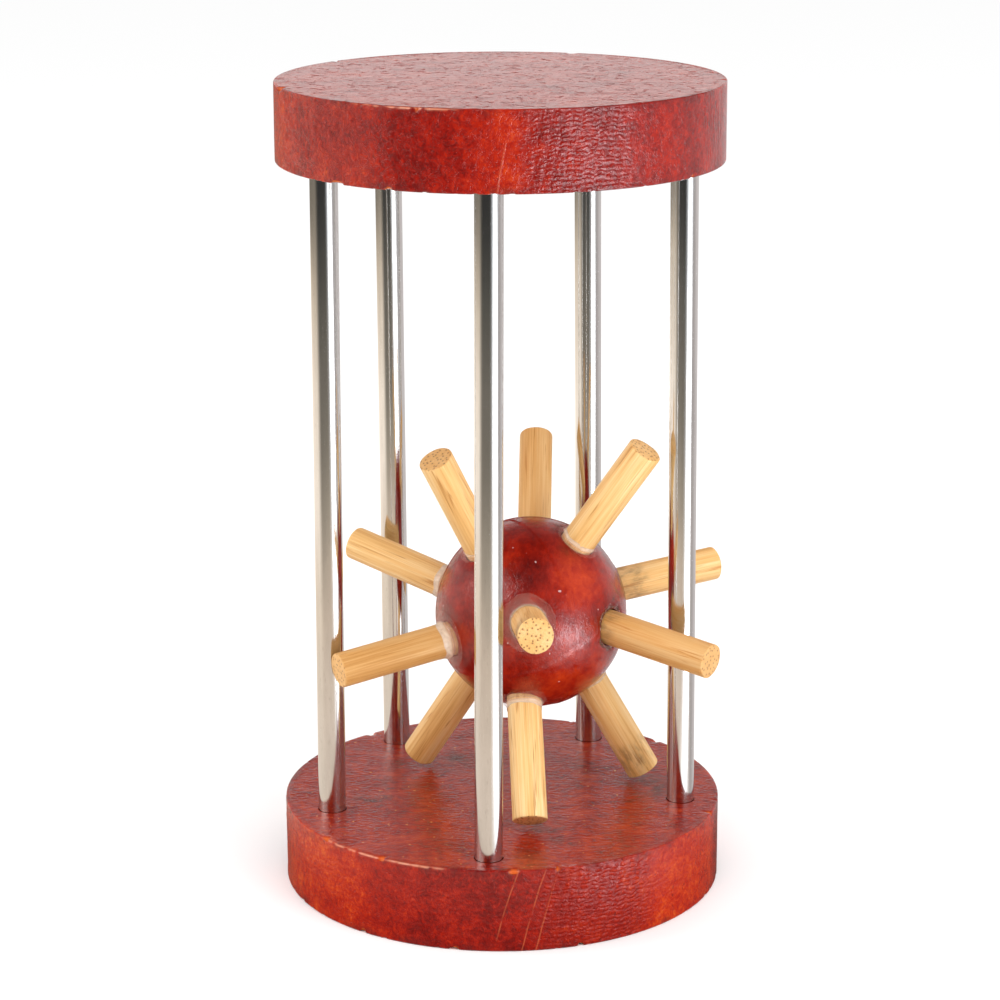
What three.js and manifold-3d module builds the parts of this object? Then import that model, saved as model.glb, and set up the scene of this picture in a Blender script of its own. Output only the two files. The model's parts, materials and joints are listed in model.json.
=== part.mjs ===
import * as THREE from "three";
import * as BufferGeometryUtils from "three/addons/utils/BufferGeometryUtils.js";
import Module from "manifold-3d";

// A cage puzzle: two round boards joined by five steel rods, and a ball full of bamboo pegs that stands
// loose between them. Millimetres, +Z up, the front faces -Y, the origin is the middle of the underside.

// The boards
const BASE_DIAMETER = 100.6;
const BASE_THICKNESS = 18.9;
const TOP_DIAMETER = 99.3;
const TOP_THICKNESS = 17.5;
const TOP_SHIFT = -0.1; // the top board sits a little to the left of the base
const TOTAL_HEIGHT = 184;
const WORN_EDGE = 1; // radius of the rubbed edges

// The rods. Four gaps between them are alike and the one at the front right is wider: the way out.
// angle and radius mark the hole in the base, angle counted from +X towards +Y in degrees.
// lean is how far the rod's upper end stands to the right of its foot.
const ROD_DIAMETER = 6.2;
const ROD_SINK = 12; // depth of the blind holes in both boards
const RODS = [
  { name: "rod_right", angle: -9, radius: 41.6, lean: -1 },
  { name: "rod_back_right", angle: 59, radius: 41, lean: -1 },
  { name: "rod_back_left", angle: 127.5, radius: 42, lean: -0.5 },
  { name: "rod_left", angle: 197.5, radius: 40.7, lean: 0.5 },
  { name: "rod_front", angle: 266, radius: 42.5, lean: 0.5 },
];

// The ball, as it lies: its centre, how far it is rolled back, and how far it is turned about +Z
const BALL_DIAMETER = 44.5;
const BALL_CENTRE = new THREE.Vector3(6.6, 2.4, 61.3);
const BALL_ROLL = -14.5;
const BALL_TURN = -2.5;

// The pegs stand where an icosahedron has its corners: one at the front, a ring of five round it,
// a ring of five further back and one behind. polar is a ring's angle from the front peg, and first is
// its first peg's place round the ring, counted from the right and upwards. They are drilled by hand:
// drift is how far a hole is off its mark, and lean how far its peg tilts from square, both in
// degrees sideways and upwards. length is what stands out of the ball.
const PEG_DIAMETER = 8;
const PEG_SINK = 8; // depth of the sockets in the ball
const PEG_BEVEL = 0.4; // rubbed edge of a peg's free end
const CORNER_ANGLE = THREE.MathUtils.radToDeg(Math.atan(2));
const PEG_RINGS = [
  { polar: 0, first: 0, pegs: [{ name: "peg_front", drift: [-1, -4], lean: [-4, 1.5], length: 26.8 }] },
  {
    polar: CORNER_ANGLE,
    first: 54,
    pegs: [
      { name: "peg_upper_right", drift: [-1.5, 2.5], lean: [-2, -1.5], length: 27.4 },
      { name: "peg_upper_left", drift: [-4, -0.5], lean: [-5.5, 6.5], length: 25.8 },
      { name: "peg_left", drift: [0, 0], lean: [1, 2], length: 26.8 },
      { name: "peg_foot_front", drift: [2.5, -3], lean: [-6.5, -2.5], stands: true },
      { name: "peg_right", drift: [-1, 8], lean: [4.5, -5], length: 26.2 },
    ],
  },
  {
    polar: 180 - CORNER_ANGLE,
    first: 18,
    pegs: [
      { name: "peg_right_back", drift: [0.5, -1], lean: [1.5, -3.5], length: 26.8 },
      { name: "peg_top", drift: [1, -3], lean: [-1.5, -2.5], length: 25.3 },
      { name: "peg_left_back", drift: [-2, -0.5], lean: [0.5, 4.5], length: 27.2, bevel: 1 },
      { name: "peg_foot_left", drift: [-0.5, 5.5], lean: [2.5, -7], stands: true },
      { name: "peg_foot_right", drift: [6, 3.5], lean: [3.5, -10.5], stands: true, bevel: 1 },
    ],
  },
  { polar: 180, first: 0, pegs: [{ name: "peg_back", drift: [0, 0], lean: [0, 0], length: 26.8 }] },
];

// Play between pieces that touch, and how finely the round shapes are divided
const PLAY = 0.3;
const MERGE_DISTANCE = 1e-4;
const BOARD_SIDES = 80;
const ROD_SIDES = 24;
const PEG_SIDES = 16;
const BALL_SIDES = 44;
const BALL_BANDS = 28;
const EDGE_STEPS = 3;

const UP = new THREE.Vector3(0, 0, 1);

const wasm = await Module();
wasm.setup();

// One closed mesh with shared corners and without flat triangles
function closed(geometry) {
  const bare = geometry.clone();
  bare.deleteAttribute("normal");
  bare.deleteAttribute("uv");
  const merged = BufferGeometryUtils.mergeVertices(bare, MERGE_DISTANCE);
  const corners = [];
  const index = merged.index.array;
  for (let i = 0; i < index.length; i += 3) {
    const [a, b, c] = index.slice(i, i + 3);
    if (a !== b && b !== c && c !== a) {
      corners.push(a, b, c);
    }
  }
  merged.setIndex(corners);
  return merged;
}

function solid(geometry) {
  const mesh = closed(geometry);
  const vertProperties = new Float32Array(mesh.attributes.position.array);
  const triVerts = new Uint32Array(mesh.index.array);
  return new wasm.Manifold(new wasm.Mesh({ numProp: 3, vertProperties, triVerts }));
}

function geometryOf(manifold) {
  const mesh = manifold.getMesh();
  const geometry = new THREE.BufferGeometry();
  geometry.setAttribute("position", new THREE.BufferAttribute(new Float32Array(mesh.vertProperties), 3));
  geometry.setIndex(new THREE.BufferAttribute(new Uint32Array(mesh.triVerts), 1));
  return geometry;
}

// The first geometry with each of the cutters taken away
function drilled(geometry, cutters) {
  let left = solid(geometry);
  for (const cutter of cutters) {
    left = left.subtract(solid(cutter));
  }
  return geometryOf(left);
}

// A profile of [radius, height] turned about +Z
function turned(profile, sides) {
  const points = profile.map(([radius, height]) => new THREE.Vector2(radius, height));
  return closed(new THREE.LatheGeometry(points, sides).rotateX(Math.PI / 2));
}

// A straight round bar from one point to another
function bar(from, to, diameter, sides) {
  const way = to.clone().sub(from);
  const shape = new THREE.CylinderGeometry(diameter / 2, diameter / 2, way.length(), sides);
  shape.rotateX(Math.PI / 2);
  shape.applyQuaternion(new THREE.Quaternion().setFromUnitVectors(UP, way.normalize()));
  const middle = from.clone().add(to).multiplyScalar(0.5);
  return shape.translate(middle.x, middle.y, middle.z);
}

function piece(name, geometry, material) {
  const mesh = new THREE.Mesh(geometry, material);
  mesh.name = name;
  return mesh;
}

function stainedWood() {
  return new THREE.MeshStandardMaterial({ color: 0x9c2a1c, roughness: 0.4, metalness: 0 });
}

function polishedSteel() {
  return new THREE.MeshStandardMaterial({ color: 0xc4c4c6, roughness: 0.1, metalness: 1 });
}

function bamboo() {
  return new THREE.MeshStandardMaterial({ color: 0xe0b878, roughness: 0.55, metalness: 0 });
}

// A round board standing on z = 0, with rubbed edges
function boardShape(diameter, thickness) {
  const inner = diameter / 2 - WORN_EDGE;
  const profile = [[0, 0]];
  for (const [height, start] of [[WORN_EDGE, -90], [thickness - WORN_EDGE, 0]]) {
    for (let step = 0; step <= EDGE_STEPS; step += 1) {
      const angle = THREE.MathUtils.degToRad(start + (90 * step) / EDGE_STEPS);
      profile.push([inner + WORN_EDGE * Math.cos(angle), height + WORN_EDGE * Math.sin(angle)]);
    }
  }
  profile.push([0, thickness]);
  return turned(profile, BOARD_SIDES);
}

// The two ends of a rod's axis, where it leaves the boards
function rodEnds({ angle, radius, lean }) {
  const turn = THREE.MathUtils.degToRad(angle);
  const foot = new THREE.Vector3(radius * Math.cos(turn), radius * Math.sin(turn), BASE_THICKNESS);
  const head = new THREE.Vector3(foot.x + lean, foot.y, TOTAL_HEIGHT - TOP_THICKNESS);
  return { foot, head };
}

// The same axis, carried on into the boards by a length at both ends
function rodAxis(rod, extra) {
  const { foot, head } = rodEnds(rod);
  const way = head.clone().sub(foot).normalize().multiplyScalar(extra);
  return [foot.clone().sub(way), head.clone().add(way)];
}

function rodHole(rod) {
  return bar(...rodAxis(rod, ROD_SINK), ROD_DIAMETER + 2 * PLAY, ROD_SIDES);
}

function baseBoard() {
  const board = boardShape(BASE_DIAMETER, BASE_THICKNESS);
  return piece("base_board", drilled(board, RODS.map(rodHole)), stainedWood());
}

function topBoard() {
  const board = boardShape(TOP_DIAMETER, TOP_THICKNESS);
  board.translate(TOP_SHIFT, 0, TOTAL_HEIGHT - TOP_THICKNESS);
  return piece("top_board", drilled(board, RODS.map(rodHole)), stainedWood());
}

function rod(place) {
  const shape = closed(bar(...rodAxis(place, ROD_SINK - PLAY), ROD_DIAMETER, ROD_SIDES));
  return piece(place.name, shape, polishedSteel());
}

// A direction moved by some degrees sideways and upwards
function nudged(direction, [sideways, upwards]) {
  const side = direction.clone().cross(UP).normalize();
  const rise = side.clone().cross(direction);
  const moved = direction.clone();
  moved.addScaledVector(side, THREE.MathUtils.degToRad(sideways));
  moved.addScaledVector(rise, THREE.MathUtils.degToRad(upwards));
  return moved.normalize();
}

// Every peg's root on the ball and its direction, both from the ball's centre, and its length
function pegPlaces() {
  const radius = BALL_DIAMETER / 2;
  const places = [];
  for (const { polar, first, pegs } of PEG_RINGS) {
    pegs.forEach((peg, count) => {
      const off = THREE.MathUtils.degToRad(polar);
      const round = THREE.MathUtils.degToRad(first + (360 * count) / pegs.length);
      const mark = new THREE.Vector3(
        Math.sin(off) * Math.cos(round),
        -Math.cos(off),
        Math.sin(off) * Math.sin(round),
      );
      mark.applyAxisAngle(new THREE.Vector3(1, 0, 0), THREE.MathUtils.degToRad(BALL_ROLL));
      mark.applyAxisAngle(UP, THREE.MathUtils.degToRad(BALL_TURN));
      const root = nudged(mark, peg.drift);
      const way = nudged(root, peg.lean);
      root.multiplyScalar(radius);
      const length = peg.stands ? standingLength(root, way) : peg.length;
      places.push({ name: peg.name, bevel: peg.bevel ?? PEG_BEVEL, root, way, length });
    });
  }
  return places;
}

// The length at which the lowest point of a peg's end comes down to the base board
function standingLength(root, way) {
  const edge = (PEG_DIAMETER / 2) * Math.sqrt(1 - way.z * way.z);
  const drop = BALL_CENTRE.z + root.z - edge - BASE_THICKNESS - PLAY;
  return drop / -way.z;
}

function peg({ name, bevel, root, way, length }) {
  const radius = PEG_DIAMETER / 2;
  const foot = PLAY - PEG_SINK;
  const profile = [[0, foot], [radius, foot], [radius, length - bevel], [radius - bevel, length], [0, length]];
  const mesh = piece(name, turned(profile, PEG_SIDES), bamboo());
  mesh.position.copy(root);
  mesh.quaternion.setFromUnitVectors(UP, way);
  return mesh;
}

function pegSocket({ root, way }) {
  const bottom = root.clone().addScaledVector(way, -PEG_SINK);
  const mouth = root.clone().addScaledVector(way, PEG_SINK);
  return bar(bottom, mouth, PEG_DIAMETER + 2 * PLAY, PEG_SIDES);
}

function spikedBall() {
  const places = pegPlaces();
  const sphere = new THREE.SphereGeometry(BALL_DIAMETER / 2, BALL_SIDES, BALL_BANDS);
  const group = new THREE.Group();
  group.position.copy(BALL_CENTRE);
  group.add(piece("ball", drilled(sphere, places.map(pegSocket)), stainedWood()));
  group.add(...places.map(peg));
  return group;
}

const puzzle = new THREE.Group();
puzzle.add(baseBoard(), topBoard(), ...RODS.map(rod), spikedBall());

export default puzzle;
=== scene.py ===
import json
from math import atan2, cos, hypot, pi, radians, sin

import bpy
import numpy as np
from mathutils import Matrix, Vector

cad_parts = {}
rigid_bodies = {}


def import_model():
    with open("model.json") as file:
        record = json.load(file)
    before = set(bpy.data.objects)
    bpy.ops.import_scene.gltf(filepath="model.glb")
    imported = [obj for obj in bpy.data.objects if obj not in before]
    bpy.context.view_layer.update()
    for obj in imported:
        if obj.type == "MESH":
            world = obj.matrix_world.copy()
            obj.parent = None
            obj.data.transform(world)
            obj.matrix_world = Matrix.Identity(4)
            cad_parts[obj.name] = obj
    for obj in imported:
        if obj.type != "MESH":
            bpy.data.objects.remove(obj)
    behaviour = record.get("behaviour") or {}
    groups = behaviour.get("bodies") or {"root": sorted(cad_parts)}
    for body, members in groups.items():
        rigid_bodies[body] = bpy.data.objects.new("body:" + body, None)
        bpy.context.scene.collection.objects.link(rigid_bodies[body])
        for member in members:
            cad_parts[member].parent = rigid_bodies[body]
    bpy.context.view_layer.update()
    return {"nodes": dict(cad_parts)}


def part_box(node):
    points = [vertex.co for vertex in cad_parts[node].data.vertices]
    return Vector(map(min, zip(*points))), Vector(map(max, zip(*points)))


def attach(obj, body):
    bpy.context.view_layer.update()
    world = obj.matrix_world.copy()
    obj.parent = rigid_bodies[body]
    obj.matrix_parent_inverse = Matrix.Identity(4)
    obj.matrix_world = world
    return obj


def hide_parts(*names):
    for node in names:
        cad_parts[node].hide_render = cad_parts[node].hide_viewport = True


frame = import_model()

# A cage puzzle: two red-stained boards joined by five steel rods, and a ball full of bamboo pegs that stands
# loose between them. Metres, +Z up, the front faces -Y. Sizes in mm are multiplied by MM.
MM = 0.001

RODS = ["rod_left", "rod_front", "rod_right", "rod_back_right", "rod_back_left"]
PEGS = [node for node in frame["nodes"] if node.startswith("peg_")]

# Boards. Azimuths in degrees: 0 is the front, 90 the right.
BOARD_SIDES = 768
BOARD_ROWS = 44  # rows of faces up a board's edge
FACE_RINGS = 40  # rings of faces on a side that shows
PLAIN_RINGS = 12  # and on one that doesn't
RIM_ROUND = 0.45 * MM
BOARD_WOBBLE = 0.12 * MM  # how far the sawn outline wanders inwards
CHIP_DEPTH = 0.45 * MM
SAW_DEPTH = 0.06 * MM
WRINKLE_DEPTH = 0.10 * MM
HOLE_PLAY = 0.18 * MM
BOARDS = {
    "base_board": {
        "seed": 1,
        "underside": False,
        "dry": 0.15,
        "ribbed": [(138, 10)],
        "slant": 0.3,
        "weave": [(25, 15), (158, 24), (-122, 14)],
        "scars": [(2, 10), (115, 12)],
        "leather": [(-96, 12), (-168, 14)],
        "bright": [(-66, 26), (56, 18), (120, 16), (-150, 18)],
        "deep": [(-8, 20), (86, 10), (-104, 14)],
        "upper_chips": [(-52, 1.4), (-32, 0.8), (3, 1.4), (14, 0.5), (72, 0.6), (131, 1.6), (-140, 1.2)],
        "lower_chips": [(-38, 1.0), (-12, 1.2), (20, 0.8), (96, 1.5), (-118, 1.2)],
        "worn_rim": (-33, 18),
        # Darker patches on the base's top face, x, y and half-sizes in mm: smudges, and the large one at the right
        # (33, 2) is painted shade
        "smudges_and_shade": [(-30, -6, 6, 4), (-10, 21, 8, 4), (9, -24, 7, 6), (33, 2, 9, 9), (14, -33, 5, 4)],
    },
    "top_board": {
        "seed": 4,
        "underside": True,
        "dry": 1.0,
        "ribbed": [(72, 10), (-150, 12)],
        "slant": 0.17,
        "weave": [(19, 13), (-165, 22), (104, 12)],
        "scars": [(-4, 5), (-120, 10)],
        "leather": [(-46, 15), (135, 24)],
        "bright": [(-76, 11), (4, 4), (165, 16)],
        "deep": [(-18, 14), (48, 42), (-112, 20)],
        "upper_chips": [(-73, 2.0), (-20, 0.5), (86, 0.6), (160, 1.6), (-130, 1.0)],
        "lower_chips": [(-44, 2.0), (-28, 0.9), (55, 0.8), (120, 1.6), (-100, 1.2)],
        "worn_rim": (-24, 12),
        "smudges_and_shade": [],
    },
}

# Glue round the pegs' roots: how far up the peg it reaches and how wide it lies on the ball, in mm, and how
# milky it is
GLUE = {
    "peg_left": (2.4, 6.4, 1.3),
    "peg_left_back": (2.4, 5.6, 1.1),
    "peg_upper_left": (0.8, 5.2, 0.4),
    "peg_upper_right": (1.3, 5.3, 0.9),
    "peg_foot_front": (1.6, 6.4, 0.8),
    "peg_front": (1.0, 6.3, 0.3),
    "peg_top": (0.5, 4.8, 0.4),
    "peg_foot_left": (0.9, 5.1, 0.5),
    "peg_foot_right": (0.8, 5.0, 0.5),
    "peg_back": (1.4, 5.7, 0.8),
}
GLUE_RIPPLES = {"peg_left": 8.6, "peg_upper_left": 6.9, "peg_front": 7.6}

# Painted light and shade on the ball, lighter where the amount is positive and darker where it is negative: lit
# towards the upper and lower right, shaded at the top and upper left, and lighter at the back as well: azimuth,
# elevation, half-width in degrees, amount
BALL_PAINTED_LIGHT = [(31, 33, 26, 0.12), (36, -34, 34, 0.10), (-2, 40, 18, -0.07), (-50, 20, 30, -0.05), (150, 10, 40, 0.08)]

# Dirt on the pegs: how far from the tip its middle is and half its length, in mm
STAINS = {"peg_foot_right": (5, 5), "peg_right_back": (24, 6), "peg_right": (27, 4)}

# How tan each peg is, from 0 for pale straw
PEG_TANS = {
    "peg_upper_left": 0.15,
    "peg_top": 0.5,
    "peg_upper_right": 0.0,
    "peg_left_back": 0.15,
    "peg_left": 0.8,
    "peg_front": 0.2,
    "peg_right_back": 0.2,
    "peg_right": 1.2,
    "peg_foot_left": 0.3,
    "peg_foot_front": 0.0,
    "peg_foot_right": 0.1,
    "peg_back": 0.4,
}

# Camera, from the boards' rims and the rods in the photo
CAMERA_PLACE = (0, -0.6561, 0.2673)
CAMERA_DOWN = 15.24
CAMERA_ROLL = 0.11
CAMERA_LENS = 108


def deselect():
    if bpy.context.mode != "OBJECT":
        bpy.ops.object.mode_set(mode="OBJECT")
    bpy.ops.object.select_all(action="DESELECT")


def activate(piece):
    deselect()
    piece.select_set(True)
    bpy.context.view_layer.objects.active = piece


def added(name):
    """The object that the last operator made, under its own name."""
    piece = bpy.context.active_object
    piece.name = name
    piece.data.name = name
    return piece


def pick(piece, kind, test):
    """Enters edit mode with only the vertices, edges or faces selected that pass a test."""
    activate(piece)
    mesh = piece.data
    for parts in (mesh.vertices, mesh.edges, mesh.polygons):
        parts.foreach_set("select", np.zeros(len(parts), dtype=bool))
    parts = {"VERT": mesh.vertices, "EDGE": mesh.edges, "FACE": mesh.polygons}[kind]
    parts.foreach_set("select", np.array([bool(test(part)) for part in parts]))
    bpy.ops.object.mode_set(mode="EDIT")
    bpy.ops.mesh.select_mode(type=kind)


def object_mode():
    bpy.ops.object.mode_set(mode="OBJECT")


def modify(piece, kind, **settings):
    """Adds a modifier with its settings and applies it."""
    activate(piece)
    step = piece.modifiers.new(kind.lower(), kind)
    for key, value in settings.items():
        setattr(step, key, value)
    bpy.ops.object.modifier_apply(modifier=step.name)


def settle(piece):
    """Moves the piece's place, turn and scale into its mesh."""
    activate(piece)
    bpy.ops.object.transform_apply(location=True, rotation=True, scale=True)


def smooth(piece, degrees):
    activate(piece)
    bpy.ops.object.shade_smooth_by_angle(angle=radians(degrees))


def places(piece):
    spots = np.empty(len(piece.data.vertices) * 3)
    piece.data.vertices.foreach_get("co", spots)
    return spots.reshape(-1, 3)


def move_vertices(piece, spots):
    piece.data.vertices.foreach_set("co", np.ascontiguousarray(spots).ravel())
    piece.data.update()


def keep_numbers(piece, name, values):
    """Stores one number, or one vector, for each vertex under a name that a material reads."""
    values = np.asarray(values, dtype=float)
    kind = "FLOAT" if values.ndim == 1 else "FLOAT_VECTOR"
    field = "value" if values.ndim == 1 else "vector"
    layer = piece.data.attributes.new(name, kind, "POINT")
    layer.data.foreach_set(field, np.ascontiguousarray(values).ravel())


NOISE_TABLE = np.random.default_rng(5).uniform(-1, 1, 4096)


def noise_at(spots, size, seed=0.0):
    """Smooth noise between -1 and 1, with features of one size in metres."""
    scaled = np.asarray(spots, dtype=float) / size + 31.7 * seed
    cell = np.floor(scaled).astype(np.int64)
    part = scaled - cell
    part = part ** 3 * (part * (part * 6 - 15) + 10)
    total = np.zeros(len(scaled))
    for dx in (0, 1):
        for dy in (0, 1):
            for dz in (0, 1):
                key = (cell[:, 0] + dx) * 73856093 ^ (cell[:, 1] + dy) * 19349663 ^ (cell[:, 2] + dz) * 83492791
                weight = np.abs(1 - np.array((dx, dy, dz)) - part).prod(axis=1)
                total += NOISE_TABLE[key & 4095] * weight
    return total


def step_up(values, low, high):
    share = np.clip((values - low) / (high - low), 0, 1)
    return share * share * (3 - 2 * share)


def zone(azimuth, centre, half, soft=4):
    """1 within so many degrees of an azimuth, and softly 0 beyond."""
    off = np.abs((azimuth - centre + 180) % 360 - 180)
    return 1 - step_up(off, half - soft, half + soft)


def zones(azimuth, list_of_zones, soft=4):
    total = np.zeros_like(azimuth)
    for centre, half in list_of_zones:
        total = np.maximum(total, zone(azimuth, centre, half, soft))
    return total


def finish_piece(piece, nodes, material):
    piece.data.materials.clear()
    piece.data.materials.append(material)
    if nodes:
        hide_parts(*nodes)
    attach(piece, "root")


class Value:
    """A number over a surface. Sums, differences and products of it add Math nodes."""

    def __init__(self, finish, socket):
        self.finish = finish
        self.socket = socket

    def math(self, operation, first, second):
        return self.finish.add("ShaderNodeMath", {"operation": operation}, {0: first, 1: second})

    def __add__(self, other):
        return self.math("ADD", self, other)

    __radd__ = __add__

    def __sub__(self, other):
        return self.math("SUBTRACT", self, other)

    def __rsub__(self, other):
        return self.math("SUBTRACT", other, self)

    def __mul__(self, other):
        return self.math("MULTIPLY", self, other)

    __rmul__ = __mul__

    def __truediv__(self, other):
        return self.math("DIVIDE", self, other)

    def __pow__(self, other):
        return self.math("POWER", self, other)

    def above(self, low, high):
        """Rises softly from 0 at low to 1 at high."""
        settings = {"interpolation_type": "SMOOTHSTEP", "clamp": True}
        sockets = {"Value": self, "From Min": low, "From Max": high}
        return self.finish.add("ShaderNodeMapRange", settings, sockets)

    def larger(self, other):
        return self.math("MAXIMUM", self, other)

    def size(self):
        return self.math("ABSOLUTE", self, 0.0)

    def part(self):
        return self.math("FRACT", self, 0.0)

    def whole(self):
        return self.math("FLOOR", self, 0.0)

    def wave(self):
        """Rises and falls between 0 and 1 once in each unit."""
        return self.math("SINE", self * (2 * pi), 0.0) * 0.5 + 0.5


class Finish:
    """A material under construction and the few ways in which its nodes are added."""

    def __init__(self, name):
        self.material = bpy.data.materials.new(name)
        self.material.use_nodes = True
        self.tree = self.material.node_tree
        self.surface = self.tree.nodes["Principled BSDF"]

    def add(self, kind, settings, sockets, output=0):
        node = self.tree.nodes.new(kind)
        for key, value in settings.items():
            if key == "stops":
                self.set_stops(node.color_ramp, value)
            else:
                setattr(node, key, value)
        for key, value in sockets.items():
            self.feed(node.inputs[key], value)
        return Value(self, node.outputs[output])

    def set_stops(self, ramp, stops):
        while len(ramp.elements) < len(stops):
            ramp.elements.new(1.0)
        for element, (position, colour) in zip(ramp.elements, stops):
            element.position = position
            element.color = (*colour, 1.0)

    def feed(self, socket, value):
        if isinstance(value, Value):
            self.tree.links.new(value.socket, socket)
        elif socket.type == "RGBA" and len(value) == 3:
            socket.default_value = (*value, 1.0)
        else:
            socket.default_value = value

    def set(self, **sockets):
        """Feeds sockets of the shader, with a space for each underscore in their names."""
        for key, value in sockets.items():
            self.feed(self.surface.inputs[key.replace("_", " ")], value)

    def object_place(self):
        return self.add("ShaderNodeTexCoord", {}, {}, "Object")

    def attribute(self, name, output="Fac"):
        return self.add("ShaderNodeAttribute", {"attribute_name": name}, {}, output)

    def parts(self, place):
        """The three numbers of a place or vector."""
        x = self.add("ShaderNodeSeparateXYZ", {}, {"Vector": place}, "X")
        outputs = x.socket.node.outputs
        return x, Value(self, outputs["Y"]), Value(self, outputs["Z"])

    def stretched(self, place, scale, shift=(0, 0, 0), turn=(0, 0, 0)):
        """The place, turned, scaled along each axis and shifted."""
        sockets = {"Vector": place, "Location": shift, "Rotation": turn, "Scale": scale}
        return self.add("ShaderNodeMapping", {}, sockets)

    def noise(self, place, scale, detail=2.0, roughness=0.5, distortion=0.0):
        sockets = {"Vector": place, "Scale": scale, "Detail": detail, "Roughness": roughness}
        sockets["Distortion"] = distortion
        return self.add("ShaderNodeTexNoise", {}, sockets, "Fac")

    def lot(self, number):
        """A chance number between 0 and 1 for each whole number."""
        return self.add("ShaderNodeTexWhiteNoise", {"noise_dimensions": "1D"}, {"W": number}, "Value")

    def ramp(self, value, stops):
        return self.add("ShaderNodeValToRGB", {"stops": stops}, {"Fac": value})

    def mix(self, share, first, second, blend="MIX"):
        """Colours mixed by a share."""
        settings = {"data_type": "RGBA", "blend_type": blend}
        return self.add("ShaderNodeMix", settings, {0: share, 6: first, 7: second}, 2)

    def bump(self, height, distance, strength=1.0):
        """A surface raised by a height of 0 to 1 times a distance in metres."""
        sockets = {"Height": height, "Distance": distance, "Strength": strength}
        return self.add("ShaderNodeBump", {}, sockets)


def stick(node):
    """The axis of a straight CAD node: its two ends, and its radius."""
    spots = np.unique(np.round(places(bpy.data.objects[node]), 7), axis=0)
    middle = spots.mean(axis=0)
    _, _, axes = np.linalg.svd(spots - middle, full_matrices=False)
    along = (spots - middle) @ axes[0]
    away = np.linalg.norm(spots - middle - np.outer(along, axes[0]), axis=1)
    ends = [Vector(middle + axes[0] * along.min()), Vector(middle + axes[0] * along.max())]
    return ends, float(away.max())


def from_line(spots, start, end):
    """How far each spot is from the line through two points."""
    along = np.array((end - start).normalized())
    offsets = spots - np.array(start)
    return np.linalg.norm(offsets - np.outer(offsets @ along, along), axis=1)


def placing(start, end):
    """The matrix that lays +Z along a line, with its zero at the start."""
    turn = Vector((0, 0, 1)).rotation_difference(end - start).to_matrix().to_4x4()
    return Matrix.Translation(start) @ turn


BALL_LOW, BALL_HIGH = (Vector(corner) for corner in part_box("ball"))
BALL_CENTRE = (BALL_LOW + BALL_HIGH) / 2
BALL_RADIUS = (BALL_HIGH.x - BALL_LOW.x) / 2


def peg_line(node):
    """A peg's inner end, outer end and radius."""
    ends, radius = stick(node)
    inner, outer = sorted(ends, key=lambda end: (end - BALL_CENTRE).length)
    return inner, outer, radius


def rod_line(node):
    ends, radius = stick(node)
    foot, head = sorted(ends, key=lambda end: end.z)
    return foot, head, radius


def camera():
    data = bpy.data.cameras.new("camera")
    data.lens = CAMERA_LENS
    data.sensor_width = 36
    data.clip_start = 0.01
    data.clip_end = 50
    view = bpy.data.objects.new("camera", data)
    view.location = CAMERA_PLACE
    view.rotation_euler = (radians(90 - CAMERA_DOWN), radians(CAMERA_ROLL), 0)
    bpy.context.scene.collection.objects.link(view)
    bpy.context.scene.camera = view


def soft_light(name, azimuth, elevation, distance, size, watts, colour):
    """A soft square panel that faces the puzzle and doesn't show in its gloss."""
    data = bpy.data.lights.new(name, "AREA")
    data.size = size
    data.energy = watts
    data.color = colour
    light = bpy.data.objects.new(name, data)
    around = radians(azimuth)
    up = radians(elevation)
    reach = distance * cos(up)
    middle = Vector((0, 0, 0.09))
    place = middle + Vector((reach * sin(around), -reach * cos(around), distance * sin(up)))
    light.location = place
    light.rotation_euler = (middle - place).to_track_quat("-Z", "Y").to_euler()
    light.visible_glossy = False
    bpy.context.scene.collection.objects.link(light)


def world():
    sky = bpy.data.worlds.new("studio")
    sky.use_nodes = True
    background = sky.node_tree.nodes["Background"]
    background.inputs["Color"].default_value = (1.0, 1.0, 1.0, 1.0)
    background.inputs["Strength"].default_value = 1.0
    bpy.context.scene.world = sky


def floor():
    deselect()
    bpy.ops.mesh.primitive_plane_add(size=9, location=(0, 0, 0))
    ground = added("floor")
    finish = Finish("pale_floor")
    finish.set(Base_Color=(0.96, 0.96, 0.96), Roughness=0.9)
    finish.surface.inputs["Specular IOR Level"].default_value = 0.0
    ground.data.materials.append(finish.material)


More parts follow.
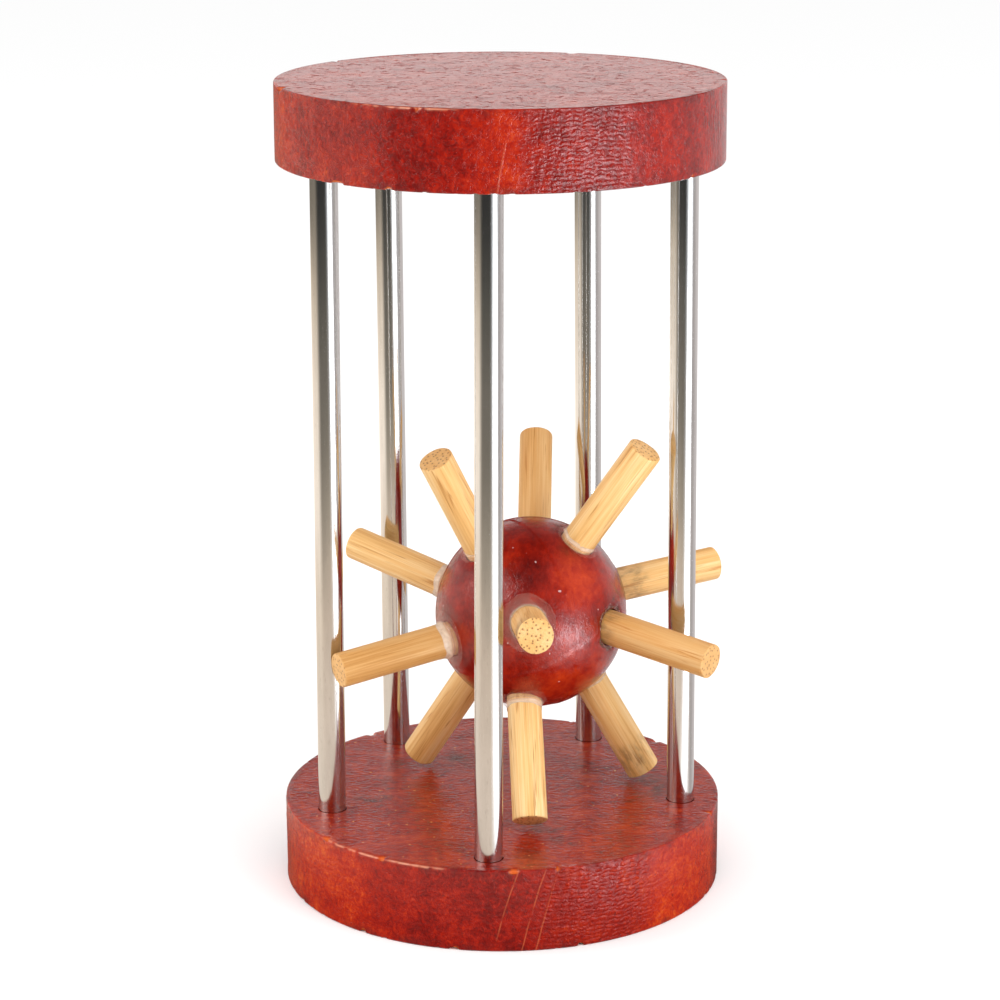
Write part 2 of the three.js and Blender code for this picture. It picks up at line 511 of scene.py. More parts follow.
def room_finish():
    """What the puzzle's gloss sees: a lit table, dark beyond it in front, a low panel at the front right,
    a soft light at the left and a pale wall behind."""
    finish = Finish("room")
    place = finish.object_place()
    x, y, z = finish.parts(place)
    reach = (x * x + y * y) ** 0.5
    around = x.math("ARCTAN2", x, 0 - y) * (180 / pi)
    up = z.math("ARCTAN2", z, reach) * (180 / pi)
    behind = (y / reach).above(0.15, 0.6)
    left = 1 - around.above(-82, -46)
    right = around.above(46, 90)
    panel = around.above(4, 50) ** 1.5 * (1 - right) ** 2
    core = around.above(28, 40) * (1 - around.above(56, 68))

    table = finish.ramp(reach, [
        (0.12, (1.00, 0.84, 0.71)),
        (0.24, (0.88, 0.72, 0.58)),
        (0.33, (0.52, 0.45, 0.36)),
        (0.44, (0.27, 0.24, 0.20)),
        (0.60, (0.23, 0.21, 0.18)),
        (0.78, (0.10, 0.10, 0.09)),
        (0.95, (0.034, 0.034, 0.036)),
    ])
    left_table = finish.ramp(reach, [
        (0.12, (1.05, 0.90, 0.76)),
        (0.26, (1.15, 0.97, 0.79)),
        (0.36, (1.38, 1.22, 1.07)),
        (0.46, (1.38, 1.22, 1.05)),
        (0.58, (1.20, 1.04, 0.88)),
        (0.76, (0.82, 0.69, 0.54)),
        (0.92, (0.25, 0.22, 0.18)),
    ])
    table = finish.mix(left, table, left_table)
    dusk = finish.mix(around.above(78, 120), (0.56, 0.51, 0.51), (0.80, 0.75, 0.75))
    table = finish.mix(right, table, dusk)
    table = finish.mix(panel, table, (2.6, 2.7, 2.85))
    lamp = core * reach.above(0.10, 0.20) * (1 - reach.above(0.6, 0.9))
    table = finish.mix(lamp, table, (10.0, 10.3, 10.9))
    table = finish.mix(1 - reach.above(0.055, 0.10), table, (0.16, 0.12, 0.10))

    left_glow = left * (1 - behind) * (1 - (around + 96).size().above(24, 44)) * (1 - up.above(35, 55))
    air = finish.mix(left_glow, (0.22, 0.20, 0.18), (1.7, 1.55, 1.45))
    high_lamp = around.above(-92, -78) * (1 - around.above(-46, -34)) * up.above(22, 28) * (1 - up.above(42, 50))
    air = finish.mix(right, air, (0.60, 0.56, 0.58))
    front = (1 - left) * (1 - around.above(2, 24)) * (1 - up.above(50, 75))
    air = finish.mix(front, air, (0.04, 0.04, 0.045))
    air = finish.mix(panel * (1 - up.above(10, 20)), air, (2.6, 2.7, 2.85))
    air = finish.mix(high_lamp, air, (6.5, 6.3, 6.1))
    wall = finish.mix(up.above(8, 22), (1.15, 1.08, 1.06), (0.20, 0.19, 0.18))
    air = finish.mix(behind, air, wall)

    colour = finish.mix(up.above(0.3, 1.0), table, air)
    glow = finish.add("ShaderNodeEmission", {}, {"Color": colour, "Strength": 1.0})
    output = finish.tree.nodes["Material Output"]
    finish.tree.links.new(glow.socket, output.inputs["Surface"])
    finish.material.cycles.emission_sampling = "NONE"
    return finish.material


def room():
    """The table's top and a dome over it, which only gloss sees."""
    finish = room_finish()
    deselect()
    bpy.ops.mesh.primitive_circle_add(vertices=64, radius=3, fill_type="NGON", location=(0, 0, 0.3 * MM))
    table = added("room_table")
    settle(table)
    deselect()
    bpy.ops.mesh.primitive_uv_sphere_add(segments=64, ring_count=32, radius=3)
    dome = added("room_dome")
    pick(dome, "FACE", lambda face: face.center.z < 0)
    bpy.ops.mesh.delete(type="FACE")
    object_mode()
    for card in (table, dome):
        card.data.materials.append(finish)
        card.visible_camera = False
        card.visible_diffuse = False
        card.visible_shadow = False
        card.visible_transmission = False


def studio():
    view = bpy.context.scene.view_settings
    view.view_transform = "Standard"
    bpy.context.scene.cycles.use_denoising = True
    world()
    floor()
    room()
    soft_light("overhead", 10, 60, 1.1, 0.8, 3.0, (1.0, 1.0, 1.0))
    soft_light("right_light", 48, 22, 0.9, 0.5, 3.0, (1.0, 0.99, 0.98))
    soft_light("left_light", -85, 25, 0.9, 0.5, 2.0, (1.0, 0.98, 0.95))


def board_finish():
    """Wood stained red under varnish, rough from the saw on its edge."""
    finish = Finish("stained_board")
    place = finish.object_place()
    side = finish.attribute("edge_side")
    rim = finish.attribute("rim")
    chip = finish.attribute("chip")
    smudge = finish.attribute("smudge")
    weave = finish.attribute("weave")
    scars = finish.attribute("scars")
    leather = finish.attribute("leather")
    bright = finish.attribute("bright")
    ribbed = finish.attribute("ribbed")
    dry = finish.attribute("dry")
    unrolled = finish.add("ShaderNodeUVMap", {"uv_map": "edge"}, {})
    round_it, height, _ = finish.parts(unrolled)

    column = round_it / (2.2 * MM) + finish.noise(place, 300, 3, 0.6) * 1.4
    lot = finish.lot(column.whole())
    off = (column.part() - 0.5).size()
    rows = (height / (1.0 * MM) + lot * 3 + finish.noise(place, 500, 2, 0.5) * 1.8).wave()
    knots = finish.noise(place, 900, 2, 0.5).above(0.34, 0.62)
    threads = finish.noise(finish.stretched(place, (1, 1, 0.2)), 1300, 2, 0.5)
    cloth = rows * (1 - off.above(0.15, 0.5) * 0.8) * (knots * 0.75 + 0.25) + threads * 0.45
    scratch = round_it / (3.1 * MM) + finish.noise(place, 60, 1) * 0.5
    scar = (1 - (scratch.part() - 0.5).size().above(0.03, 0.08)) * finish.lot(scratch.whole()).above(0.25, 0.5)
    scar = scar * finish.noise(place, 150, 2).above(0.38, 0.55) * scars
    faint_rows = (height / (1.7 * MM) + finish.noise(place, 300, 2, 0.5) * 3).wave()

    folds = finish.noise(finish.stretched(place, (1, 1, 0.75), turn=(0, 0.5, 0)), 640, 3, 0.55, 1.8)
    creases = (folds - 0.5).size().above(0.0, 0.10)
    skin = creases * 0.35 + folds * 0.65
    grain = finish.noise(place, 1500, 4, 0.65, 0.6)
    ribs = finish.noise(finish.stretched(place, (1, 1, 0.12)), 1500, 2, 0.55)
    edge_relief = skin * (0.20 + leather * 0.80) + grain * (0.16 + leather * 0.25) + cloth * weave * 0.50
    edge_relief = edge_relief + scar * 0.35 + faint_rows * bright * 0.08 + ribs * ribbed * 0.8
    face_skin = finish.noise(finish.stretched(place, (0.8, 1, 1), turn=(0, 0, 0.12)), 950, 4, 0.62, 0.5)
    face_relief = (face_skin * 0.36 + grain * 0.10) * (1 - dry * 0.4)
    relief = edge_relief * side + face_relief * (1 - side)

    mottle = finish.noise(place, 105, 5, 0.65, 0.6)
    fleck = finish.noise(place, 560, 5, 0.72, 0.8)
    streak = finish.noise(finish.stretched(place, (1, 1, 0.25)), 420, 4, 0.65)
    tone = mottle * 0.36 + fleck * 0.38 + skin * 0.14 + grain * 0.12 + bright * 0.07
    edge_colour = finish.ramp(tone, [
        (0.36, (0.14, 0.003, 0.002)),
        (0.45, (0.26, 0.006, 0.002)),
        (0.53, (0.37, 0.013, 0.002)),
        (0.61, (0.48, 0.032, 0.003)),
        (0.72, (0.63, 0.095, 0.008)),
    ])
    edge_colour = finish.mix((1 - cloth) * weave * 0.55, edge_colour, (0.15, 0.005, 0.004))
    edge_colour = finish.mix(scar * 0.35, edge_colour, (0.75, 0.16, 0.06))
    pits = finish.noise(place, 900, 2, 0.5).above(0.67, 0.73)
    edge_colour = finish.mix(pits * 0.5, edge_colour, (0.09, 0.008, 0.006))
    face_tone = mottle * 0.4 + finish.noise(finish.stretched(place, (0.6, 1, 1)), 520, 5, 0.7, 0.8) * 0.6
    face_colour = finish.ramp(face_tone, [
        (0.36, (0.14, 0.005, 0.003)),
        (0.48, (0.26, 0.011, 0.003)),
        (0.58, (0.36, 0.024, 0.004)),
        (0.70, (0.46, 0.055, 0.009)),
    ])
    bald = finish.noise(finish.stretched(place, (0.6, 1, 1)), 900, 5, 0.72, 0.4).above(0.53, 0.63) * dry
    bald = bald * (1 - side)
    face_colour = finish.mix(bald * 0.6, face_colour, (0.24, 0.014, 0.005))
    # Painted glints: small orange specks on the faces
    orange_glints = finish.noise(place, 1300, 1, 0.5).above(0.75, 0.78)
    face_colour = finish.mix(orange_glints, face_colour, (0.75, 0.24, 0.05))
    colour = finish.mix(side, face_colour, edge_colour)
    # Painted shade: darker, in patches, along the rims
    rim_shade = rim * finish.noise(place, 170, 4, 0.7).above(0.44, 0.66)
    colour = finish.mix(rim_shade * 0.6, colour, (0.10, 0.010, 0.010))
    # Darker patches on the faces: smudges, and painted shade in the large patch at the base's right
    stain = smudge * finish.noise(place, 230, 4, 0.7).above(0.34, 0.62)
    colour = finish.mix(stain * 0.65, colour, (0.045, 0.026, 0.022))
    colour = finish.mix(finish.attribute("worn") * 0.7, colour, (0.76, 0.30, 0.17))
    colour = finish.mix(chip, colour, (0.64, 0.11, 0.016))
    finish.set(Base_Color=colour)
    finish.set(Roughness=0.08 + 0.12 * streak + 0.15 * stain + 0.4 * bald)
    finish.set(Normal=finish.bump(relief, 0.40 * MM, 1.0))
    finish.surface.inputs["IOR"].default_value = 1.48
    return finish.material


def ball_finish():
    finish = Finish("stained_ball")
    place = finish.object_place()
    bare = finish.attribute("bare")
    blotch = finish.noise(place, 85, 5, 0.6, 0.5)
    brush = finish.noise(finish.stretched(place, (1, 0.5, 0.6), turn=(0.4, 0.3, 0.6)), 420, 4, 0.65, 0.5)
    fleck = finish.noise(place, 700, 4, 0.7, 0.6)
    # The tone takes in the painted light and shade: lighter at the upper and lower right, darker at the top and upper
    # left
    tone = blotch * 0.5 + brush * 0.28 + fleck * 0.22 + finish.attribute("thin_stain")
    colour = finish.ramp(tone, [
        (0.34, (0.10, 0.004, 0.003)),
        (0.46, (0.20, 0.007, 0.003)),
        (0.56, (0.31, 0.013, 0.004)),
        (0.68, (0.46, 0.034, 0.006)),
        (0.80, (0.58, 0.070, 0.010)),
    ])
    dust = finish.noise(place, 620, 1, 0.5).above(0.765, 0.785)
    colour = finish.mix(dust * 0.6, colour, (0.75, 0.55, 0.55))
    raw = finish.ramp(finish.noise(place, 900, 3, 0.7), [
        (0.40, (0.03, 0.018, 0.014)),
        (0.55, (0.16, 0.075, 0.045)),
        (0.66, (0.75, 0.62, 0.55)),
    ])
    colour = finish.mix(bare, colour, raw)
    finish.set(Base_Color=colour)
    finish.set(Roughness=0.09 + 0.10 * brush + 0.3 * bare)
    wrinkle = finish.noise(finish.stretched(place, (1, 1, 0.6), turn=(0.2, 0.7, 0.1)), 1250, 4, 0.6, 2.0)
    swell = finish.noise(place, 230, 2, 0.5, 0.4)
    finish.set(Normal=finish.bump(wrinkle * 0.42 + swell * 0.5 + fleck * 0.12, 0.22 * MM, 1.0))
    finish.surface.inputs["IOR"].default_value = 1.5
    return finish.material


def steel_finish():
    finish = Finish("polished_steel")
    place = finish.object_place()
    lines = finish.noise(finish.stretched(place, (1, 1, 0.008)), 3800, 3, 0.6)
    haze = finish.noise(finish.stretched(place, (1, 1, 0.15)), 420, 4, 0.65)
    speck = finish.noise(finish.stretched(place, (1, 1, 0.3)), 1900, 2, 0.6).above(0.60, 0.72)
    tint = finish.mix(haze.above(0.35, 0.75), (0.66, 0.65, 0.63), (0.60, 0.59, 0.57))
    finish.set(Base_Color=finish.mix(speck * 0.3, tint, (0.50, 0.49, 0.47)))
    finish.surface.inputs["Metallic"].default_value = 1.0
    finish.set(Roughness=0.08 + 0.10 * haze)
    finish.set(Normal=finish.bump(lines, 0.012 * MM, 0.6))
    return finish.material


def bamboo_finish():
    finish = Finish("bamboo")
    grain = finish.attribute("grain", "Vector")
    seed = finish.attribute("stick_seed", "Vector")
    end = finish.attribute("end_face")
    stain = finish.attribute("stain")
    tan = finish.attribute("tan")
    place = finish.add("ShaderNodeVectorMath", {"operation": "ADD"}, {0: grain, 1: seed})
    dots = finish.add(
        "ShaderNodeTexVoronoi",
        {"voronoi_dimensions": "2D", "feature": "F1"},
        {"Vector": place, "Scale": 860, "Randomness": 0.85},
        "Distance",
    )
    dot = 1 - dots.above(0.09, 0.19)
    halo = 1 - dots.above(0.16, 0.42)
    fibre = finish.noise(finish.stretched(place, (1, 1, 0.015)), 2600, 4, 0.7)
    band = finish.noise(finish.stretched(place, (1, 1, 0.05)), 520, 3, 0.55)
    broad = finish.noise(finish.stretched(place, (1, 1, 0.10)), 190, 2, 0.5)
    tone = broad * 0.26 + band * 0.30 + fibre * 0.44
    pale = finish.ramp(tone, [
        (0.36, (0.66, 0.33, 0.085)),
        (0.47, (0.84, 0.50, 0.175)),
        (0.58, (0.93, 0.65, 0.31)),
        (0.70, (0.97, 0.78, 0.47)),
    ])
    contour = finish.noise(finish.stretched(place, (1, 1, 0.022)), 900, 2, 0.5)
    broken = finish.noise(finish.stretched(place, (1, 1, 0.14)), 380, 2, 0.5).above(0.42, 0.56)
    line = (1 - (contour - 0.5).size().above(0.004, 0.022)) * broken
    pale = finish.mix(tan, pale, (0.86, 0.80, 0.74), "MULTIPLY")
    pale = finish.mix(tan, pale, (0.86, 0.78, 0.70), "MULTIPLY")
    colour = finish.mix(line * 0.8, pale, (0.50, 0.20, 0.035))
    colour = finish.mix(end * 0.45, colour, (0.74, 0.42, 0.15))
    colour = finish.mix(end * halo * 0.35, colour, (0.55, 0.24, 0.06))
    colour = finish.mix(end * dot * 0.9, colour, (0.20, 0.075, 0.025))
    dirt = stain * finish.noise(finish.stretched(place, (1, 1, 0.4)), 500, 4, 0.7).above(0.35, 0.75)
    colour = finish.mix(dirt * 0.75, colour, (0.24, 0.13, 0.05))
    finish.set(Base_Color=colour)
    finish.set(Roughness=0.40 + 0.2 * fibre)
    finish.set(Normal=finish.bump(fibre * 0.55 + band * 0.3 - end * dot * 0.5 - line * 0.25, 0.13 * MM, 0.8))
    return finish.material


def glue_finish():
    finish = Finish("clear_glue")
    place = finish.object_place()
    cloud = finish.noise(place, 420, 4, 0.6, 0.8)
    thin = finish.attribute("thin")
    milky = finish.attribute("milky")
    clear = finish.mix(cloud, (0.42, 0.12, 0.09), (0.75, 0.50, 0.42))
    cream = finish.mix(cloud, (0.80, 0.58, 0.40), (0.95, 0.82, 0.66))
    on_peg = 1 - thin.above(0.02, 0.30)
    finish.set(Base_Color=finish.mix(on_peg, clear, cream))
    finish.set(Roughness=0.08 + 0.1 * cloud)
    finish.set(Alpha=0.20 - 0.12 * thin + on_peg * (0.2 + 0.8 * cloud) * milky * 0.8)
    finish.set(Normal=finish.bump(cloud, 0.5 * MM, 0.8))
    finish.surface.inputs["IOR"].default_value = 1.5
    return finish.material


def board_blank(name, node, show_bottom):
    """A board turned from half its profile, with rows up its edge and rings on its faces."""
    low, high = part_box(node)
    centre = Vector([(a + b) / 2 for a, b in zip(low, high)])
    radius = (high[0] - low[0]) / 2
    thick = high[2] - low[2]
    deselect()
    bpy.ops.mesh.primitive_plane_add(size=1, location=(0, 0, 0))
    piece = added(name)
    mesh = piece.data
    mesh.transform(Matrix.Translation((0.5, 0, 0)))
    mesh.transform(Matrix.Diagonal((radius, thick, 1, 1)))
    mesh.transform(Matrix.Rotation(radians(90), 4, "X"))
    pick(piece, "VERT", lambda vertex: vertex.co.x > radius / 2)
    bpy.ops.mesh.bevel(offset=RIM_ROUND, segments=5, affect="VERTICES")
    object_mode()
    pick(piece, "FACE", lambda face: True)
    bpy.ops.mesh.delete(type="ONLY_FACE")
    object_mode()
    pick(piece, "EDGE", lambda edge: all(mesh.vertices[i].co.x < radius / 2 for i in edge.vertices))
    bpy.ops.mesh.delete(type="EDGE")
    object_mode()
    plain = FACE_RINGS if show_bottom else PLAIN_RINGS
    for test, cuts in (
        (lambda spot: spot.z > thick / 2 - 0.01 * MM, FACE_RINGS),
        (lambda spot: spot.z < 0.01 * MM - thick / 2, plain),
        (lambda spot: spot.x > radius - 0.01 * MM, BOARD_ROWS),
    ):
        pick(piece, "EDGE", lambda edge: all(test(mesh.vertices[i].co) for i in edge.vertices))
        bpy.ops.mesh.subdivide(number_cuts=cuts)
        object_mode()
    sides = {"steps": BOARD_SIDES, "render_steps": BOARD_SIDES}
    modify(piece, "SCREW", axis="Z", angle=2 * pi, use_merge_vertices=True, merge_threshold=0.001 * MM, **sides)
    pick(piece, "FACE", lambda face: True)
    bpy.ops.mesh.normals_make_consistent(inside=False)
    object_mode()
    piece.data.transform(Matrix.Translation(centre))
    return piece, centre, radius, thick


def board_relief(piece, centre, radius, thick, plan):
    """Gives a board its sawn edge, wrinkled skin and chipped rims, and marks where they are."""
    seed = plan["seed"]
    spots = places(piece)
    x = spots[:, 0] - centre.x
    y = spots[:, 1] - centre.y
    away = np.hypot(x, y)
    height = spots[:, 2] - centre.z
    azimuth = np.degrees(np.arctan2(x, -y))
    outward = np.stack([x, y, np.zeros_like(x)], axis=1) / np.maximum(away, 1e-9)[:, None]
    from_face = thick / 2 - np.abs(height)
    on_side = step_up(away, radius - 0.3 * MM, radius - 0.05 * MM) * step_up(from_face, 0, 0.5 * MM)
    to_rim = np.hypot(radius - away, from_face)
    # Closeness to a rim, for the painted shade along the rims
    rim = 1 - step_up(to_rim, 0.5 * MM, 2.6 * MM)
    rim_line = 1 - step_up(to_rim, 0.3 * MM, 1.0 * MM)
    weave = zones(azimuth, plan["weave"], 5)
    leather = zones(azimuth, plan["leather"], 6)

    sheared = spots * (1, 1, 0.05) + np.outer(height, (-plan["slant"], 0, 0))
    saw_lines = noise_at(sheared, 1.4 * MM, seed)
    wrinkles = noise_at(spots * (1, 1, 0.6) + np.outer(height, (0.5, 0, 0)), 1.1 * MM, seed + 1)
    swells = noise_at(spots, 6 * MM, seed + 2)
    wobble = noise_at(spots * (1, 1, 0.3), 30 * MM, seed + 3) * 0.5 - 0.5
    dents = SAW_DEPTH * (0.3 + 0.7 * weave) * (saw_lines - 1)
    dents += WRINKLE_DEPTH * (0.15 + 0.85 * leather) * (wrinkles - 1)
    out = BOARD_WOBBLE * wobble + on_side * (dents + 0.05 * MM * (swells - 1))

    worn_centre, worn_half = plan["worn_rim"]
    fray = noise_at(spots * (1, 1, 2), 1.1 * MM, seed + 5)
    edge_line = 1 - step_up(to_rim, 0.15 * MM, 0.55 * MM)
    worn = (height > 0) * edge_line * zone(azimuth, worn_centre, worn_half) * step_up(fray, -0.6, 0.4)
    chips = np.zeros(len(spots))
    for which, sign in (("upper_chips", 1), ("lower_chips", -1)):
        for where, length in plan[which]:
            along = radius * np.radians((azimuth - where + 180) % 360 - 180)
            reach = np.hypot(along / (length * MM), to_rim / (0.8 * MM)) + 0.35 * fray
            chips = np.maximum(chips, (height * sign > 0) * (1 - step_up(reach, 0.55, 1.05)))
    nicks = rim_line * step_up(noise_at(spots, 1.3 * MM, seed + 6), 0.55, 0.8)
    out -= CHIP_DEPTH * (chips + 0.35 * nicks + 0.2 * worn)
    spots = spots + outward * out[:, None]
    ripple = noise_at(spots * (0.5, 1, 1), 4 * MM, seed + 7)
    face = (1 - on_side) * (1 - rim_line) * step_up(away, 6 * MM, 16 * MM)
    sink = face * 0.03 * MM * (1 - ripple) + CHIP_DEPTH * (0.7 * chips + 0.3 * nicks + 0.25 * worn)
    spots[:, 2] -= np.sign(height) * sink
    move_vertices(piece, spots)

    # Darker patches on the top faces: smudges, and painted shade in the large one at the base's right
    stain = np.zeros(len(spots))
    for spot_x, spot_y, size_x, size_y in plan["smudges_and_shade"]:
        off = np.hypot((spots[:, 0] - spot_x * MM) / (size_x * MM), (spots[:, 1] - spot_y * MM) / (size_y * MM))
        stain = np.maximum(stain, 1 - step_up(off, 0.3, 1))
    keep_numbers(piece, "edge_side", step_up(away, radius - 0.8 * MM, radius - 0.25 * MM))
    keep_numbers(piece, "rim", rim)
    keep_numbers(piece, "chip", chips)
    keep_numbers(piece, "worn", worn)
    keep_numbers(piece, "smudge", stain * (height > 0))
    keep_numbers(piece, "weave", weave)
    keep_numbers(piece, "leather", leather)
    keep_numbers(piece, "scars", zones(azimuth, plan["scars"], 3))
    keep_numbers(piece, "bright", zones(azimuth, plan["bright"], 7) - zones(azimuth, plan["deep"], 8))
    keep_numbers(piece, "ribbed", zones(azimuth, plan["ribbed"], 6))
    keep_numbers(piece, "dry", np.full(len(spots), plan["dry"]))


def unroll(piece, centre, radius, slant):
    """Lays a board's edge out flat in a UV map, in metres round and up, sheared along its saw marks."""
    mesh = piece.data
    spots = places(piece) - np.array(centre)
    azimuth = np.arctan2(spots[:, 0], -spots[:, 1])
    corners = np.empty(len(mesh.loops), dtype=np.int32)
    mesh.loops.foreach_get("vertex_index", corners)
    starts = np.empty(len(mesh.polygons), dtype=np.int32)
    totals = np.empty(len(mesh.polygons), dtype=np.int32)
    mesh.polygons.foreach_get("loop_start", starts)
    mesh.polygons.foreach_get("loop_total", totals)
    first = np.repeat(azimuth[corners[starts]], totals)
    turn = first + (azimuth[corners] - first + pi) % (2 * pi) - pi
    up = spots[corners, 2]
    layer = mesh.uv_layers.new(name="edge")
    layer.data.foreach_set("uv", np.stack([turn * radius - slant * up, up], axis=1).ravel())


def drill(piece, lines, play, back):
    """Drills round holes along lines of a start, an end and a radius. They start a little behind the start."""
    cutters = []
    for start, end, radius in lines:
        deselect()
        length = (end - start).length + back
        bpy.ops.mesh.primitive_cylinder_add(vertices=48, radius=radius + play, depth=length)
        cutter = added("drill")
        cutter.data.transform(Matrix.Translation((0, 0, length / 2 - back)))
        cutter.data.transform(placing(start, end))
        cutters.append(cutter)
    activate(cutters[0])
    for cutter in cutters:
        cutter.select_set(True)
    bpy.ops.object.join()
    cutter = bpy.context.active_object
    modify(piece, "BOOLEAN", operation="DIFFERENCE", object=cutter, solver="MANIFOLD")
    bpy.data.objects.remove(cutter)


def boards():
    finish = board_finish()
    for node, plan in BOARDS.items():
        piece, centre, radius, thick = board_blank(f"{node}_wood", node, plan["underside"])
        board_relief(piece, centre, radius, thick, plan)
        drill(piece, [rod_line(rod) for rod in RODS], HOLE_PLAY, 0.3 * MM)
        unroll(piece, centre, radius, plan["slant"])
        smooth(piece, 50)
        finish_piece(piece, [node], finish)


def rods():
    finish = steel_finish()
    for node in RODS:
        foot, head, radius = rod_line(node)
        length = (head - foot).length
        deselect()
        bpy.ops.mesh.primitive_cylinder_add(vertices=96, radius=radius, depth=length)
        piece = added(f"{node}_steel")
        pick(piece, "FACE", lambda face: abs(face.normal.z) > 0.9)
        bpy.ops.mesh.region_to_loop()
        bpy.ops.mesh.bevel(offset=0.4 * MM, segments=2, affect="EDGES")
        object_mode()
        piece.data.transform(Matrix.Translation((0, 0, length / 2)))
        piece.data.transform(placing(foot, head))
        smooth(piece, 15)
        finish_piece(piece, [node], finish)


def ball():
    """A turned ball under lumpy varnish, with the pegs' sockets, old glue ripples and one broken-out root."""
    deselect()
    start = BALL_RADIUS - 0.02 * MM
    bpy.ops.mesh.primitive_uv_sphere_add(segments=256, ring_count=128, radius=start, location=BALL_CENTRE)
    piece = added("ball_wood")
    settle(piece)
    spots = places(piece)
    outward = spots - np.array(BALL_CENTRE)
    outward /= np.linalg.norm(outward, axis=1)[:, None]
    out = 0.09 * MM * (noise_at(spots, 9 * MM, 1) - 1) + 0.02 * MM * (noise_at(spots, 1.8 * MM, 2) - 1)
    for node, size in GLUE_RIPPLES.items():
        inner, outer, radius = peg_line(node)
        off = from_line(spots, inner, outer)
        near = (outward @ np.array((outer - inner).normalized())) > 0
        for ring, tall in ((size, 0.10), (size - 1.0, 0.06)):
            out += near * tall * MM * (np.exp(-(((off - ring * MM) / (0.4 * MM)) ** 2)) - 1)
    inner, outer, radius = peg_line("peg_right")
    off = from_line(spots, inner, outer)
    near = (outward @ np.array((outer - inner).normalized())) > 0
    ragged = 0.5 * MM * noise_at(spots, 1.2 * MM, 3)
    low_left = step_up(-(spots[:, 0] - outer.x) - 0.8 * (spots[:, 2] - outer.z), 2 * MM, 12 * MM)
    bare = near * (1 - step_up(off + ragged, radius + 0.7 * MM, radius + 1.3 * MM)) * low_left
    out -= 0.5 * MM * bare
    move_vertices(piece, spots + outward * out[:, None])
    keep_numbers(piece, "bare", bare)
    # Painted light and shade: the ball's tone lifted or lowered by direction
    thin = np.zeros(len(spots))
    for around, up, half, amount in BALL_PAINTED_LIGHT:
        toward = (cos(radians(up)) * sin(radians(around)), -cos(radians(up)) * cos(radians(around)), sin(radians(up)))
        angle = np.degrees(np.arccos(np.clip(outward @ np.array(toward), -1, 1)))
        thin += amount * (1 - step_up(angle, half * 0.3, half))
    keep_numbers(piece, "thin_stain", thin)
    drill(piece, [peg_line(node) for node in PEGS], 0.22 * MM, 0.3 * MM)
    smooth(piece, 40)
    finish_piece(piece, ["ball"], ball_finish())


def peg(node, seed, finish):
    """A bamboo stick, cut square, with its fibres marked in its own frame."""
    inner, outer, radius = peg_line(node)
    length = (outer - inner).length
    deselect()
    bpy.ops.mesh.primitive_cylinder_add(vertices=64, radius=radius, depth=length)
    piece = added(f"{node}_bamboo")
    mesh = piece.data
    pick(piece, "EDGE", lambda edge: abs(
        mesh.vertices[edge.vertices[0]].co.z - mesh.vertices[edge.vertices[1]].co.z) > length / 2)
    bpy.ops.mesh.subdivide(number_cuts=40)
    object_mode()
    pick(piece, "FACE", lambda face: abs(face.normal.z) > 0.9)
    bpy.ops.mesh.region_to_loop()
    bpy.ops.mesh.bevel(offset=0.35 * MM, segments=3, affect="EDGES")
    object_mode()
    pick(piece, "FACE", lambda face: abs(face.normal.z) > 0.9 and len(face.vertices) > 4)
    for _ in range(5):
        bpy.ops.mesh.inset(thickness=radius / 7)
    bpy.ops.mesh.poke()
    object_mode()
    mesh.transform(Matrix.Translation((0, 0, length / 2)))
    spots = places(piece)
    outward = spots * (1, 1, 0)
    away = np.linalg.norm(outward, axis=1)
    outward /= np.maximum(away, 1e-9)[:, None]
    keep_numbers(piece, "grain", spots)
    keep_numbers(piece, "stick_seed", np.tile((seed * 11 * MM, seed * 7 * MM, seed * 13 * MM), (len(spots), 1)))
    tip = step_up(spots[:, 2], length - 0.25 * MM, length - 0.1 * MM)
    keep_numbers(piece, "end_face", tip)
    shift = np.array((seed * 0.05, seed * 0.03, 0))
    facets = noise_at(spots * (1, 1, 0.05) + shift, 2.6 * MM) - 0.6
    ridges = noise_at(spots * (1, 1, 0.02) + shift, 0.7 * MM) - 0.6
    share = away / radius
    dents = (0.11 * MM * facets + 0.03 * MM * ridges) * share
    spots = spots + outward * dents[:, None]
    slant = noise_at(spots + shift, 5 * MM) - 0.7
    spots[:, 2] += tip * 0.12 * MM * slant
    move_vertices(piece, spots)
    dirty = STAINS.get(node)
    stain = np.zeros(len(spots))
    if dirty:
        middle, half = dirty
        stain = 1 - step_up(np.abs(spots[:, 2] - length + middle * MM), half * 0.4 * MM, half * MM)
    keep_numbers(piece, "stain", stain)
    keep_numbers(piece, "tan", np.full(len(spots), PEG_TANS[node]))
    mesh.transform(placing(inner, outer))
    smooth(piece, 40)
    finish_piece(piece, [node], finish)


def pegs():
    finish = bamboo_finish()
    for seed, node in enumerate(PEGS, 1):
        peg(node, seed, finish)


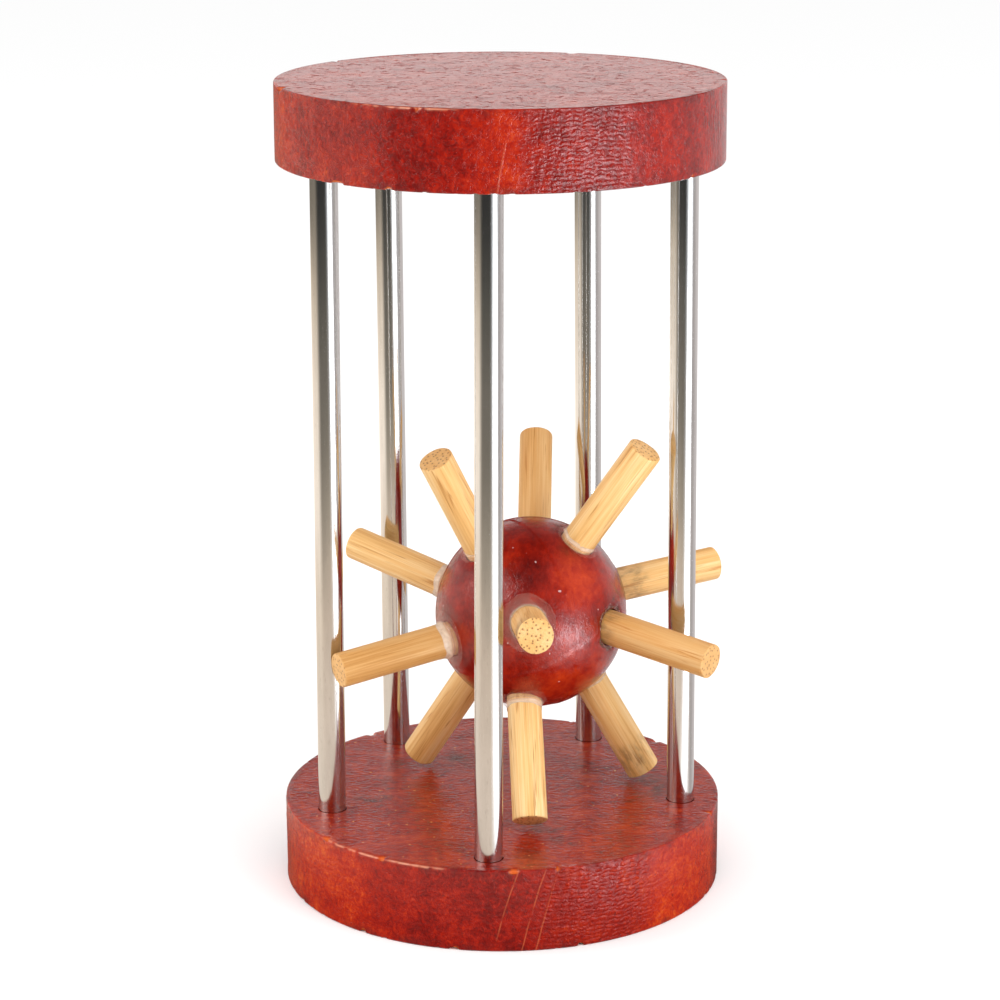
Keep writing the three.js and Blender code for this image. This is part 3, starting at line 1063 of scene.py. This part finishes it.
def glue_collar(node, reach_up, spread, milky, seed, finish):
    """A ring of glue in the corner between a peg and the ball, hollow like a fillet."""
    inner, outer, radius = peg_line(node)
    along = (outer - inner).normalized()
    offset = inner - BALL_CENTRE
    depth = offset.dot(along)
    sideways = (offset - along * depth).length
    deselect()
    bpy.ops.mesh.primitive_torus_add(major_segments=96, minor_segments=24, major_radius=1, minor_radius=0.3)
    piece = added(f"{node}_glue")
    spots = places(piece)
    around = np.arctan2(spots[:, 1], spots[:, 0])
    turn = np.arctan2(spots[:, 2], np.hypot(spots[:, 0], spots[:, 1]) - 1) / (2 * pi)
    share = np.clip(turn % 1, 0, 1) * 2
    outer_face = share <= 1
    lane = np.where(outer_face, share, 2 - share)
    ring = np.stack([np.cos(around), np.sin(around), np.full(len(around), seed * 3.1)], axis=1)
    uneven = 1 + 0.25 * noise_at(ring, 0.8, seed)
    wide = radius + (spread * MM - radius) * uneven
    top = reach_up * MM * (1 + 0.35 * noise_at(ring, 0.7, seed + 2))
    bend = (1 - lane) ** 2.2
    away = np.where(outer_face, radius + (wide - radius) * bend, radius - 0.4 * MM + (wide - radius) * bend)
    on_ball = np.sqrt(np.maximum(BALL_RADIUS ** 2 - (away + sideways * 0.2) ** 2, 0)) - depth
    lift = np.where(outer_face, 0.10 * MM, -0.5 * MM) * (1 - bend) + np.where(outer_face, -0.05, -0.5) * MM * bend
    climb = top * lane ** 2.2
    flat = np.stack([np.cos(around) * away, np.sin(around) * away, on_ball + lift + climb], axis=1)
    move_vertices(piece, flat)
    keep_numbers(piece, "thin", np.clip(bend, 0, 1))
    keep_numbers(piece, "milky", np.full(len(flat), milky))
    piece.data.transform(placing(inner, outer))
    pick(piece, "FACE", lambda face: True)
    bpy.ops.mesh.normals_make_consistent(inside=False)
    object_mode()
    smooth(piece, 60)
    finish_piece(piece, [], finish)


def glue():
    finish = glue_finish()
    for seed, (node, (reach_up, spread, milky)) in enumerate(GLUE.items(), 1):
        glue_collar(node, reach_up, spread, milky, seed, finish)


camera()
studio()
boards()
rods()
ball()
pegs()
glue()
